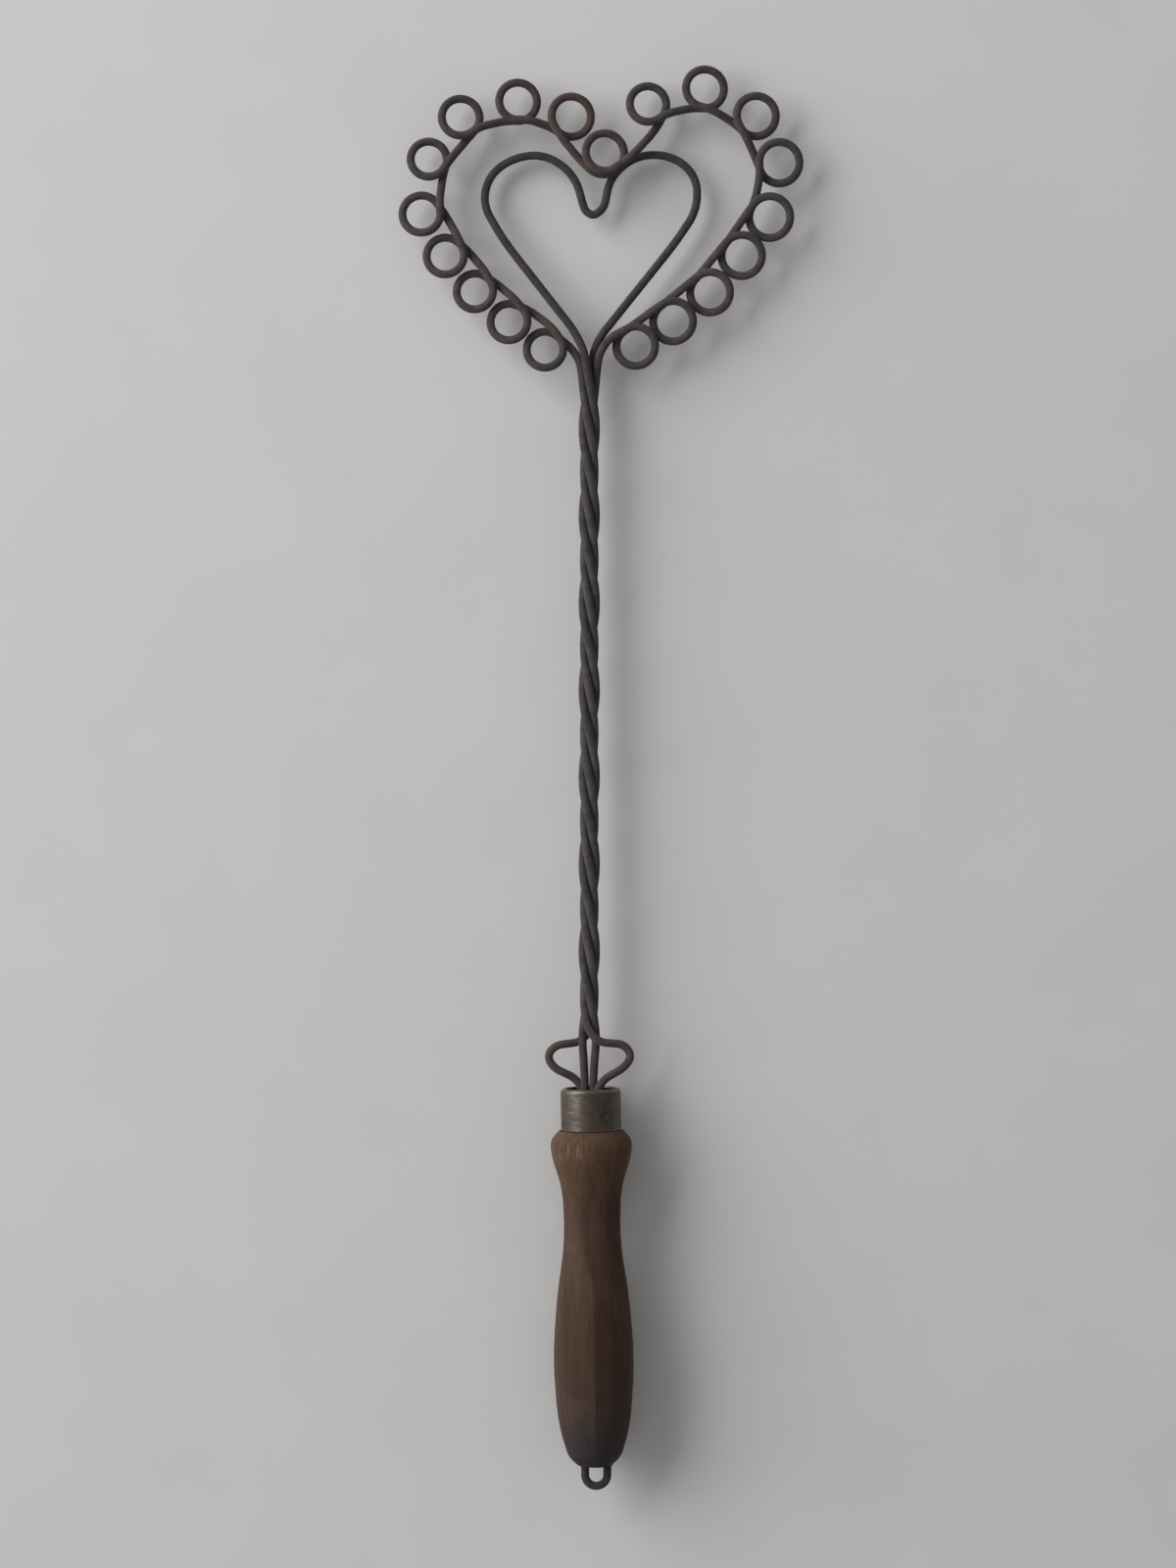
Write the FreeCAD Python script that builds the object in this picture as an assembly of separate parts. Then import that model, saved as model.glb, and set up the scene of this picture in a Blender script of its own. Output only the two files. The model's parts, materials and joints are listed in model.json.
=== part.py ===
import FreeCAD, Part
import math
import os
from FreeCAD import Vector

# A wire rug beater: a small heart inside a heart of loops, on a shaft of four twisted strands,
# with a turned wooden handle. It is bent from two wires. The border wire makes the loops, and its
# two ends make the ears above the handle. The heart wire makes the inner heart and the hanging
# loop, and runs through the handle. Each wire is cut into the stretches that have a use of their
# own, which meet face to face.
#
# Lengths are millimetres and angles are degrees. The tool lies flat: +X to the right, +Y from the
# hanging loop to the heart, +Z up. It is built with x = 0 and z = 0 on the middle of the shaft and
# y = 0 at the throat, where the strands come together, and then moved so that the origin is
# under the middle of its bounding box.

WIRE = 3.0                      # diameter of both wires
CLEARANCE = 0.14                # between two strands that cross
LAYER = (WIRE + CLEARANCE) / 2  # half the height between two crossing strands

SHORTEST_EDGE = 0.02            # a straight stretch shorter than this is left out between bends

# Border loops, from the throat up the left side and round to the throat again, bent by hand:
# x and y of the middle, radius, and how far the run to the next loop bows out of the heart.
LOOPS = [
    (-16.5, 11.8, 6.8, -1.3),
    (-29.9, 22.1, 6.9, -0.8),
    (-42.6, 33.5, 6.8, -0.8),
    (-53.6, 46.7, 7.0, -0.5),
    (-62.5, 62.3, 7.1, 0.9),
    (-59.8, 82.7, 6.7, 0.2),
    (-47.9, 98.3, 7.0, 1.5),
    (-26.5, 104.2, 7.0, 1.5),
    (-6.7, 98.6, 7.3, -0.6),
    (5.8, 85.0, 7.1, -1.5),
    (21.9, 103.2, 6.8, 1.5),
    (43.1, 109.0, 7.1, 1.3),
    (62.2, 98.8, 7.3, 0.4),
    (70.8, 81.4, 7.5, 1.2),
    (67.2, 61.1, 7.6, 0.0),
    (56.8, 46.8, 7.5, 0.0),
    (45.0, 33.1, 7.4, 0.0),
    (31.2, 22.3, 7.4, 0.0),
    (17.3, 13.0, 7.2, 0.0),
]
CLEFT_LOOP = 9                  # place in LOOPS of the loop in the cleft of the heart
CLEFT_ARRIVAL = 8.2             # radius at which the wire comes round under the cleft loop
CLEFT_EASE = 0.35               # part of that loop in which it closes in to the loop's radius
LOOP_TURN = 30.0                # about how far one bend of a loop turns
LOOP_LEVEL = 0.12               # part of a loop, at each end, that stays level
CLEFT_LEVEL = 0.25              # the same for the cleft loop, which lies under itself for longer
FIRST_HEADING = 140.0           # heading of the wire as it reaches the first loop
LAST_HEADING = 207.0            # heading of the wire as it leaves the last loop

# Inner heart, bends in plan from the left of the throat round to the right of it.
HEART_LEFT = [
    (-5.7, 18.9), (-32.3, 53.1), (-39.8, 66.5), (-37.4, 77.0), (-29.2, 83.3),
    (-17.4, 85.4), (-5.6, 77.9), (-1.6, 63.7), (1.7, 61.8),
]
HEART_RIGHT = [
    (5.6, 65.0), (7.7, 76.4), (17.6, 84.9), (30.9, 84.6), (40.0, 77.1),
    (40.5, 64.6), (32.4, 52.2), (4.0, 16.6),
]
HEART_TILT = 2.3                # the inner heart leans back, so that it passes under the border

# Throat, bends from each strand of the shaft out into the head.
THROAT_BORDER_LEFT = [Vector(-2.7, 1.5, 0.0), Vector(-3.4, 7.4, -0.5), Vector(-6.4, 12.2, -1.3)]
THROAT_BORDER_RIGHT = [Vector(7.4, 15.9, 1.4), Vector(3.5, 10.0, 0.6), Vector(2.7, 2.5, 0.0)]
THROAT_HEART_LEFT = [Vector(-0.6, 2.5, 2.6), Vector(-1.8, 11.0, 1.6)]
THROAT_HEART_RIGHT = [Vector(1.4, 10.5, -2.2), Vector(0.4, 2.0, -2.7)]
HEART_ENTRY_HEIGHT = 0.3        # height of the inner heart's first bend on the left

# Shaft: four strands in a left-hand twist.
TWIST_TOP = -1.4                # y where the strands lie left, in front, right and behind
TWIST_PITCH = 64.9
TWIST_TURNS = 3.625
TWIST_BENDS = 8                 # bends that make one turn of a strand
BORDER_STRAND_RADIUS = 1.98     # middle of the shaft to the middle of a border strand
HEART_STRAND_RADIUS = 2.46      # middle of the shaft to the middle of a heart strand

# Ears, bends from the twist out and round into the top of the bore.
EAR_LEFT = [
    Vector(0.8, -240.8, -2.8), Vector(-2.8, -246.3, -4.1), Vector(-12.6, -247.4, -1.8),
    Vector(-15.8, -251.3, -1.2), Vector(-13.2, -255.9, -1.5), Vector(-2.2, -261.1, -3.1),
]
EAR_LEFT_END = Vector(-1.9, -278.0, -3.1)
EAR_RIGHT = [
    Vector(-0.9, -240.6, 3.0), Vector(3.2, -245.9, 4.3), Vector(13.0, -246.8, 1.8),
    Vector(16.0, -251.4, 1.2), Vector(12.9, -255.6, 1.5), Vector(2.6, -261.3, 3.2),
]
EAR_RIGHT_END = Vector(2.8, -278.0, 3.1)

# Core strands, bends from the twist straight down into the bore.
CORE_LEFT = [Vector(-2.75, -243.0, -0.5), Vector(-1.5, -261.5, 0.0)]
CORE_RIGHT = [Vector(2.75, -243.5, 0.2), Vector(1.28, -261.5, 0.0)]

# Hanging loop.
HANG_X = 2.6                    # middle of the hanging loop
HANG_RADIUS = 4.12              # of the middle line of its bend
HANG_BOTTOM = -411.4            # y of the middle line at the end of the loop
HANG_TOP = -396.0               # y inside the bore where the loop meets the core strands
HANG_JOINT = -399.0             # y inside the bore where the two ends of the heart wire meet

# Handle and ferrule, by the distance along their own axis from the top of the ferrule.
GRIP_X = 0.5                    # middle of the ferrule's top
GRIP_Y = -263.2
GRIP_LEAN = 0.67                # the handle leans to the right, going down
FERRULE_LENGTH = 15.7
FERRULE_RADIUS = 11.2
FERRULE_WALL = 0.8
FERRULE_ROLL = 1.6              # outer radius of the edge that is rolled inward
FERRULE_MOUTH = 9.4             # radius of the opening inside the rolled edge
DIMPLE_DOWN = 11.3              # punched dimple: distance from the top
DIMPLE_ROUND = 33.0             # punched dimple: angle from straight up towards the right
PUNCH_RADIUS = 1.6
PUNCH_DEPTH = 0.55
TENON_TOP = 3.0
FIT = 0.05                      # clearance between ferrule and wood
HANDLE_LENGTH = 141.1
BUTT_RADIUS = 5.5
SHOULDER_RADIUS = 12.0
HANDLE_BENDS = [
    (15.4, 19.6), (14.6, 26.2), (11.0, 37.2), (10.2, 55.8),
    (13.9, 80.0), (15.3, 103.0), (13.5, 125.0), (9.9, 137.3),
]
BORE_RADIUS = 5.9
BORE_DRIFT = 0.45               # the bore runs this far off the axis by the time it reaches the butt


def heading(angle):
    """Level unit vector at an angle from +X."""
    return Vector(math.cos(math.radians(angle)), math.sin(math.radians(angle)), 0)


def left_of(direction):
    return Vector(-direction.y, direction.x, 0)


def angle_of(direction):
    return math.degrees(math.atan2(direction.y, direction.x))


def signed_turn(start, end):
    """Turn from one heading to another, between -180 and 180, left positive."""
    return (end - start + 180) % 360 - 180


def raised(point, height):
    return Vector(point.x, point.y, height)


# ---- Wires: polygons whose corners are rounded into arcs ----

def bend_edges(points):
    """Edges of a rounded polygon, one list for each inner corner.

    The arc at a corner is tangent half way along the shorter of its two sides. A corner that
    doesn't turn is a joint in a straight stretch.
    """
    groups = []
    here = points[0]
    for before, corner, after in zip(points, points[1:], points[2:]):
        arriving = (corner - before).normalize()
        leaving = (after - corner).normalize()
        turn = arriving.getAngle(leaving)
        reach = min(corner.distanceToPoint(before), corner.distanceToPoint(after)) / 2
        edges = []
        if turn < 1e-3:
            edges.append(Part.makeLine(here, corner))
            here = corner
        else:
            start = corner - arriving * reach
            end = corner + leaving * reach
            inward = (leaving - arriving).normalize()
            radius = reach / math.tan(turn / 2)
            middle = corner + inward * (radius / math.cos(turn / 2) - radius)
            if here.distanceToPoint(start) > SHORTEST_EDGE:
                edges.append(Part.makeLine(here, start))
                here = start
            edges.append(Part.Arc(here, middle, end).toShape())
            here = end
        groups.append(edges)
    if here.distanceToPoint(points[-1]) > SHORTEST_EDGE:
        groups[-1].append(Part.makeLine(here, points[-1]))
    return groups


def round_bar(edges):
    """A bar of the wire's diameter along edges that join end to end."""
    path = Part.Wire(edges)
    first = path.OrderedEdges[0]
    begin = first.FirstParameter
    section = Part.makeCircle(WIRE / 2, first.valueAt(begin), first.tangentAt(begin))
    return path.makePipeShell([Part.Wire([section])], True, False)


def cut_wire(start, stretches, end):
    """One bent wire, cut into named bars. Each stretch is a name and the corners of its bends."""
    corners = [corner for name, bends in stretches for corner in bends]
    groups = bend_edges([start] + corners + [end])
    bars = {}
    used = 0
    for name, bends in stretches:
        edges = [edge for group in groups[used:used + len(bends)] for edge in group]
        bars[name] = round_bar(edges)
        used += len(bends)
    return bars


# ---- Head: loops and the runs between them ----

def run_between(first, second, arrival_radius):
    """Heading out of one loop, heading into the next, and the two bends of the run between them.

    Both loops lie to the left of the wire. The run is an arc tangent to both, or a straight line
    if it has no bow.
    """
    x, y, radius, bow = first
    start = Vector(x, y, 0)
    end = Vector(second[0], second[1], 0)
    span = start.distanceToPoint(end)
    along = (end - start).normalize()
    side = left_of(along)
    slope = (arrival_radius - radius) / span
    away = along * slope + side * math.sqrt(1 - slope * slope)
    leave_point = start - away * radius
    reach_point = end - away * arrival_radius
    length = leave_point.distanceToPoint(reach_point)
    shoulder = length / 4
    if bow:
        mean = (radius + arrival_radius) / 2
        arc = (length * length / 4 + bow * bow) / (2 * bow) - mean
        from_first = arc + radius
        from_second = arc + arrival_radius
        foot = (span * span + from_first * from_first - from_second * from_second) / (2 * span)
        rise = math.sqrt(from_first * from_first - foot * foot)
        centre = start + along * foot - side * math.copysign(rise, arc)
        leave_point = start + (centre - start) * (radius / from_first)
        reach_point = end + (centre - end) * (arrival_radius / from_second)
    out = left_of((leave_point - start).normalize())
    into = left_of((reach_point - end).normalize())
    if bow:
        turn = out.getAngle(into)
        shoulder = abs(arc) * math.tan(turn / 4)
    bends = [leave_point + out * shoulder, reach_point - into * shoulder]
    return angle_of(out), angle_of(into), bends


def loop_bends(loop, arriving, leaving, back, arrival_radius, level):
    """Bends of one loop, turning left once round, from behind itself to in front."""
    x, y, radius, bow = loop
    sweep = 360 + signed_turn(arriving, leaving)
    count = round(sweep / LOOP_TURN)
    step = sweep / count
    bends = []
    for i in range(count):
        part = (i + 0.5) / count
        closing = 0.5 + 0.5 * math.cos(math.pi * min(1.0, part / CLEFT_EASE))
        reach = (radius + (arrival_radius - radius) * closing) / math.cos(math.radians(step / 2))
        climb = min(1.0, max(0.0, (part - level) / (1 - 2 * level)))
        height = back + LAYER * (1 - math.cos(math.pi * climb))
        spot = Vector(x, y, 0) + heading(arriving - 90 + (i + 0.5) * step) * reach
        bends.append(raised(spot, height))
    return bends


def border_bends():
    """Bends of each loop with the run that leaves it, as one list for each loop."""
    backs = [-LAYER] * len(LOOPS)
    backs[CLEFT_LOOP] = 0.0
    arrivals = [loop[2] for loop in LOOPS]
    arrivals[CLEFT_LOOP] = CLEFT_ARRIVAL
    levels = [LOOP_LEVEL] * len(LOOPS)
    levels[CLEFT_LOOP] = CLEFT_LEVEL
    stretches = []
    arriving = FIRST_HEADING
    for i, loop in enumerate(LOOPS):
        leaving = LAST_HEADING
        reaching = None
        run = []
        if i + 1 < len(LOOPS):
            leaving, reaching, run = run_between(loop, LOOPS[i + 1], arrivals[i + 1])
            run = [raised(run[0], backs[i] + 2 * LAYER), raised(run[1], backs[i + 1])]
        turns = loop_bends(loop, arriving, leaving, backs[i], arrivals[i], levels[i])
        stretches.append(turns + run)
        arriving = reaching
    return stretches


def heart_bends(places):
    """Bends of the inner heart, on the plane that leans back from the throat."""
    fall = math.tan(math.radians(HEART_TILT))
    return [Vector(x, y, -y * fall) for x, y in places]


# ---- Shaft ----

def strand_bends(radius, phase):
    """Bends of one strand of the twist from the top down. Its phase is its angle at the top."""
    reach = radius / math.cos(math.pi / TWIST_BENDS)
    bends = []
    for i in range(round(TWIST_TURNS * TWIST_BENDS)):
        turned = (i + 0.5) / TWIST_BENDS
        angle = math.radians(phase - 360 * turned)
        y = TWIST_TOP - TWIST_PITCH * turned
        bends.append(Vector(reach * math.cos(angle), y, reach * math.sin(angle)))
    return bends


# ---- The two wires ----

def border_wire():
    """From the left ear up the shaft, round the border and down to the right ear."""
    loops = border_bends()
    left = [bend for stretch in loops[:CLEFT_LOOP] for bend in stretch]
    right = [bend for stretch in loops[CLEFT_LOOP + 1:] for bend in stretch]
    return cut_wire(EAR_LEFT_END, [
        ("left_ear", EAR_LEFT[::-1]),
        ("border_strand_left", strand_bends(BORDER_STRAND_RADIUS, 180)[::-1]),
        ("border_left", THROAT_BORDER_LEFT + left),
        ("border_cleft_loop", loops[CLEFT_LOOP]),
        ("border_right", right + THROAT_BORDER_RIGHT),
        ("border_strand_right", strand_bends(BORDER_STRAND_RADIUS, 0)),
        ("right_ear", EAR_RIGHT),
    ], EAR_RIGHT_END)


def heart_wire():
    """From inside the butt round the hanging loop, up, round the inner heart and back down."""
    leg_left = HANG_X - HANG_RADIUS
    leg_right = HANG_X + HANG_RADIUS
    joint = Vector(leg_right, HANG_JOINT, 0)
    hanging = [
        Vector(leg_right, HANG_BOTTOM, 0),
        Vector(leg_left, HANG_BOTTOM, 0),
        Vector(leg_left, HANG_TOP, 0),
    ]
    heart_left = heart_bends(HEART_LEFT)
    heart_left[0].z = HEART_ENTRY_HEIGHT
    return cut_wire(joint, [
        ("hanging_loop", hanging),
        ("core_strand_left", CORE_LEFT[::-1]),
        ("heart_strand_left", strand_bends(HEART_STRAND_RADIUS, 90)[::-1]),
        ("inner_heart_left", THROAT_HEART_LEFT + heart_left),
        ("inner_heart_right", heart_bends(HEART_RIGHT) + THROAT_HEART_RIGHT),
        ("heart_strand_right", strand_bends(HEART_STRAND_RADIUS, -90)),
        ("core_strand_right", CORE_RIGHT + [Vector(leg_right, HANG_TOP, 0)]),
    ], joint)


# ---- Handle and ferrule, turned about the Y axis with the top of the ferrule at y = 0 ----

def turned(edges):
    """A solid turned from the edges of a closed outline given as radius and distance down."""
    return Part.Face(Part.Wire(edges)).revolve(Vector(0, 0, 0), Vector(0, 1, 0), 360)


def outline_point(radius, down):
    return Vector(radius, -down, 0)


def lines(points):
    return [Part.makeLine(a, b) for a, b in zip(points, points[1:])]


def quarter_arc(centre, radius, start, end):
    """Arc about a centre from one angle to another, the short way."""
    points = [centre + heading(angle) * radius for angle in (start, (start + end) / 2, end)]
    return Part.Arc(*points).toShape()


def ferrule():
    inside = FERRULE_RADIUS - FERRULE_WALL
    roll = outline_point(FERRULE_RADIUS - FERRULE_ROLL, FERRULE_ROLL)
    inner_roll = FERRULE_ROLL - FERRULE_WALL
    edges = lines([
        outline_point(inside, FERRULE_ROLL),
        outline_point(inside, FERRULE_LENGTH),
        outline_point(FERRULE_RADIUS, FERRULE_LENGTH),
        outline_point(FERRULE_RADIUS, FERRULE_ROLL),
    ])
    edges.append(quarter_arc(roll, FERRULE_ROLL, 0, 90))
    edges += lines([
        outline_point(roll.x, 0),
        outline_point(FERRULE_MOUTH, 0),
        outline_point(FERRULE_MOUTH, FERRULE_WALL),
        outline_point(roll.x, FERRULE_WALL),
    ])
    edges.append(quarter_arc(roll, inner_roll, 90, 0))
    tube = turned(edges)
    punch_out = FERRULE_RADIUS + PUNCH_RADIUS - PUNCH_DEPTH
    angle = math.radians(DIMPLE_ROUND)
    punch = Vector(punch_out * math.sin(angle), -DIMPLE_DOWN, punch_out * math.cos(angle))
    return tube.cut(Part.makeSphere(PUNCH_RADIUS, punch)).Solids[0]


def handle():
    tenon = FERRULE_RADIUS - FERRULE_WALL - FIT
    shoulder = outline_point(SHOULDER_RADIUS, FERRULE_LENGTH + FIT)
    butt = outline_point(BUTT_RADIUS, HANDLE_LENGTH)
    edges = lines([
        outline_point(0, HANDLE_LENGTH),
        outline_point(0, TENON_TOP),
        outline_point(tenon, TENON_TOP),
        outline_point(tenon, FERRULE_LENGTH + FIT),
        shoulder,
    ])
    bends = [outline_point(radius, down) for radius, down in HANDLE_BENDS]
    for group in bend_edges([shoulder] + bends + [butt]):
        edges += group
    edges += lines([butt, outline_point(0, HANDLE_LENGTH)])
    bore_end = Vector(BORE_DRIFT, -HANDLE_LENGTH, 0)
    bore = Part.makeCylinder(BORE_RADIUS, 2 * bore_end.Length, -bore_end * 0.5, bore_end)
    return turned(edges).cut(bore).Solids[0]


def on_grip_axis(shape):
    """Leans a piece that is turned about the Y axis and sets it at the end of the shaft."""
    placed = shape.copy()
    placed.rotate(Vector(0, 0, 0), Vector(0, 0, 1), GRIP_LEAN)
    placed.translate(Vector(GRIP_X, GRIP_Y, 0))
    return placed


def main():
    os.makedirs("parts", exist_ok=True)
    nodes = {}
    nodes.update(border_wire())
    nodes.update(heart_wire())
    nodes["ferrule"] = on_grip_axis(ferrule())
    nodes["handle"] = on_grip_axis(handle())
    box = Part.makeCompound(list(nodes.values())).optimalBoundingBox(False, False)
    for name, shape in nodes.items():
        placed = shape.copy()
        placed.translate(Vector(-box.Center.x, -box.Center.y, -box.ZMin))
        placed.exportStep("parts/" + name + ".step")


main()
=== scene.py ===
import json
import math

import bpy
import numpy as np
from mathutils import Matrix, Vector, noise


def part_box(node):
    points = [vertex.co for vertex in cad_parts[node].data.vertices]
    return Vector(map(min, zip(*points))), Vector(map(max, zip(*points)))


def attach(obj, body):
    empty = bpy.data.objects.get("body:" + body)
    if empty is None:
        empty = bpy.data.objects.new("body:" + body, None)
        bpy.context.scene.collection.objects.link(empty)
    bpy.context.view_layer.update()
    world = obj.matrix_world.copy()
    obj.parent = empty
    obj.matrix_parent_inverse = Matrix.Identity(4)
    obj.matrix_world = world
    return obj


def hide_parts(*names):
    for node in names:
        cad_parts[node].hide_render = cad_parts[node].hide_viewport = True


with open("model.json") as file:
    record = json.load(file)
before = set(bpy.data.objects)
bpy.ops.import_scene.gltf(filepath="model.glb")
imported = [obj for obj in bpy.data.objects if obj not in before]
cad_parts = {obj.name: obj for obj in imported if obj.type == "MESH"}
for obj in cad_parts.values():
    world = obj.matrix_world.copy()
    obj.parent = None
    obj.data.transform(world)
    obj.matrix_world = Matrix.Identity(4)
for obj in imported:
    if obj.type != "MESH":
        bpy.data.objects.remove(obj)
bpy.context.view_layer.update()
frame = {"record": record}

# An old wire rug beater. The two bent wires are swept again along their routes as fine tubes with an
# uneven, pitted surface, the handle is lofted with its whittled facets and dents, and the ferrule is
# turned with its rolled edge and dimple. Each piece stands for the CAD node of the same place.
#
# Lengths named here are millimetres, in the axes of the CAD with x = 0 and z = 0 on the middle of the
# shaft and y = 0 at the throat. SHIFT, read from the frame, takes them to the row frame in metres.

MM = 0.001

WIRE = 3.0
CLEARANCE = 0.14
LAYER = (WIRE + CLEARANCE) / 2
SHORTEST_EDGE = 0.02

# Border loops from the throat up the left side and round: x, y, radius, bow of the run that follows.
LOOPS = [
    (-16.5, 11.8, 6.8, -1.3),
    (-29.9, 22.1, 6.9, -0.8),
    (-42.6, 33.5, 6.8, -0.8),
    (-53.6, 46.7, 7.0, -0.5),
    (-62.5, 62.3, 7.1, 0.9),
    (-59.8, 82.7, 6.7, 0.2),
    (-47.9, 98.3, 7.0, 1.5),
    (-26.5, 104.2, 7.0, 1.5),
    (-6.7, 98.6, 7.3, -0.6),
    (5.8, 85.0, 7.1, -1.5),
    (21.9, 103.2, 6.8, 1.5),
    (43.1, 109.0, 7.1, 1.3),
    (62.2, 98.8, 7.3, 0.4),
    (70.8, 81.4, 7.5, 1.2),
    (67.2, 61.1, 7.6, 0.0),
    (56.8, 46.8, 7.5, 0.0),
    (45.0, 33.1, 7.4, 0.0),
    (31.2, 22.3, 7.4, 0.0),
    (17.3, 13.0, 7.2, 0.0),
]
CLEFT_LOOP = 9
CLEFT_ARRIVAL = 8.2
CLEFT_EASE = 0.35
LOOP_TURN = 30.0
LOOP_LEVEL = 0.12
CLEFT_LEVEL = 0.25
CLEFT = (-4.0, 88.0, 0.0)
FIRST_HEADING = 140.0
LAST_HEADING = 207.0

HEART_LEFT = [
    (-5.7, 18.9), (-32.3, 53.1), (-39.8, 66.5), (-37.4, 77.0), (-29.2, 83.3),
    (-17.4, 85.4), (-5.6, 77.9), (-1.6, 63.7), (1.7, 61.8),
]
HEART_RIGHT = [
    (5.6, 65.0), (7.7, 76.4), (17.6, 84.9), (30.9, 84.6), (40.0, 77.1),
    (40.5, 64.6), (32.4, 52.2), (4.0, 16.6),
]
HEART_TILT = 2.3
HEART_ENTRY_HEIGHT = 0.3

THROAT_BORDER_LEFT = [(-2.7, 1.5, 0.0), (-3.4, 7.4, -0.5), (-6.4, 12.2, -1.3)]
THROAT_BORDER_RIGHT = [(7.4, 15.9, 1.4), (3.5, 10.0, 0.6), (2.7, 2.5, 0.0)]
THROAT_HEART_LEFT = [(-0.6, 2.5, 2.6), (-1.8, 11.0, 1.6)]
THROAT_HEART_RIGHT = [(1.4, 10.5, -2.2), (0.4, 2.0, -2.7)]

TWIST_TOP = -1.4
TWIST_PITCH = 64.9
TWIST_TURNS = 3.625
TWIST_BENDS = 8
BORDER_STRAND_RADIUS = 1.98
HEART_STRAND_RADIUS = 2.46

EAR_LEFT = [
    (0.8, -240.8, -2.8), (-2.8, -246.3, -4.1), (-12.6, -247.4, -1.8),
    (-15.8, -251.3, -1.2), (-13.2, -255.9, -1.5), (-2.2, -261.1, -3.1),
]
EAR_LEFT_END = (-1.9, -278.0, -3.1)
EAR_RIGHT = [
    (-0.9, -240.6, 3.0), (3.2, -245.9, 4.3), (13.0, -246.8, 1.8),
    (16.0, -251.4, 1.2), (12.9, -255.6, 1.5), (2.6, -261.3, 3.2),
]
EAR_RIGHT_END = (2.8, -278.0, 3.1)
CORE_LEFT = [(-2.75, -243.0, -0.5), (-1.5, -261.5, 0.0)]
CORE_RIGHT = [(2.75, -243.5, 0.2), (1.28, -261.5, 0.0)]

HANG_X = 2.6
HANG_RADIUS = 4.12
HANG_BOTTOM = -411.4
HANG_TOP = -396.0
HANG_JOINT = -399.0

# Handle and ferrule: radius and distance down their own axis from the top of the ferrule.
GRIP_X = 0.5
GRIP_Y = -263.2
GRIP_LEAN = 0.67
FERRULE_LENGTH = 15.7
FERRULE_RADIUS = 11.2
FERRULE_WALL = 0.8
FERRULE_ROLL = 1.6
FERRULE_MOUTH = 9.4
FIT = 0.05
TENON_TOP = 3.0
HANDLE_LENGTH = 141.1
SHOULDER_RADIUS = 12.0
BUTT_RADIUS = 5.5
HANDLE_BENDS = [
    (15.4, 19.6), (14.6, 26.2), (11.0, 37.2), (10.2, 55.8),
    (13.9, 80.0), (15.3, 103.0), (13.5, 125.0), (9.9, 137.3),
]
BULB_DOWN = 103.0
BORE_RADIUS = 5.9
BORE_DRIFT = 0.45

# Sweep: how finely the wires are made, and how far their surface strays from a true round.
WIRE_SIDES = 20
WIRE_STEP = 0.55
WIRE_FULLNESS = 1.02
WIRE_WAVER = 0.030
WIRE_PITS = 0.035


def row_shift():
    """From the axes of the CAD to the row frame, in millimetres, by where the hanging loop is."""
    low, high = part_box("hanging_loop")
    middle = (low + high) / 2 / MM
    return np.array([middle.x - HANG_X, low.y / MM - (HANG_BOTTOM - WIRE / 2), middle.z])


SHIFT = row_shift()


# ---- Meshes ----

def band_faces(first, second, closed):
    """Quads between two equal rows of vertex numbers."""
    ahead = np.roll(first, -1), np.roll(second, -1)
    quads = np.stack([first, ahead[0], ahead[1], second], axis=1)
    return quads if closed else quads[:-1]


def ring_mesh(name, rings, looped):
    """A closed mesh through rings of vertices, its ends capped, or its last ring joined to its first."""
    count, sides = rings.shape[:2]
    numbers = np.arange(count * sides).reshape(count, sides)
    faces = [band_faces(numbers[i], numbers[i + 1], True) for i in range(count - 1)]
    if looped:
        faces.append(band_faces(numbers[-1], numbers[0], True))
    faces = np.concatenate(faces).tolist()
    if not looped:
        faces.append(numbers[0][::-1].tolist())
        faces.append(numbers[-1].tolist())
    mesh = bpy.data.meshes.new(name)
    mesh.from_pydata(((rings.reshape(-1, 3) + SHIFT) * MM).tolist(), [], faces)
    if signed_volume(mesh) < 0:
        mesh.flip_normals()
    mesh.polygons.foreach_set("use_smooth", [True] * len(mesh.polygons))
    mesh.set_sharp_from_angle(angle=math.radians(50))
    return mesh


def signed_volume(mesh):
    """Six times the mesh's volume, negative where its faces point inward."""
    mesh.calc_loop_triangles()
    corners = np.zeros(len(mesh.loop_triangles) * 3, np.int32)
    mesh.loop_triangles.foreach_get("vertices", corners)
    places = np.zeros(len(mesh.vertices) * 3)
    mesh.vertices.foreach_get("co", places)
    a, b, c = places.reshape(-1, 3)[corners].reshape(-1, 3, 3).transpose(1, 0, 2)
    return float(np.einsum("ij,ij->i", a, np.cross(b, c)).sum())


def add_piece(name, mesh, node, material):
    """Puts a mesh in the scene in place of a CAD node, riding on the one body."""
    mesh.materials.append(material)
    piece = bpy.data.objects.new(name, mesh)
    bpy.context.scene.collection.objects.link(piece)
    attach(piece, "root")
    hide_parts(node)
    return piece


# ---- Routes of the wires ----

def heading(angle):
    return Vector((math.cos(math.radians(angle)), math.sin(math.radians(angle)), 0))


def left_of(direction):
    return Vector((-direction.y, direction.x, 0))


def angle_of(direction):
    return math.degrees(math.atan2(direction.y, direction.x))


def raised(point, height):
    return Vector((point.x, point.y, height))


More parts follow.
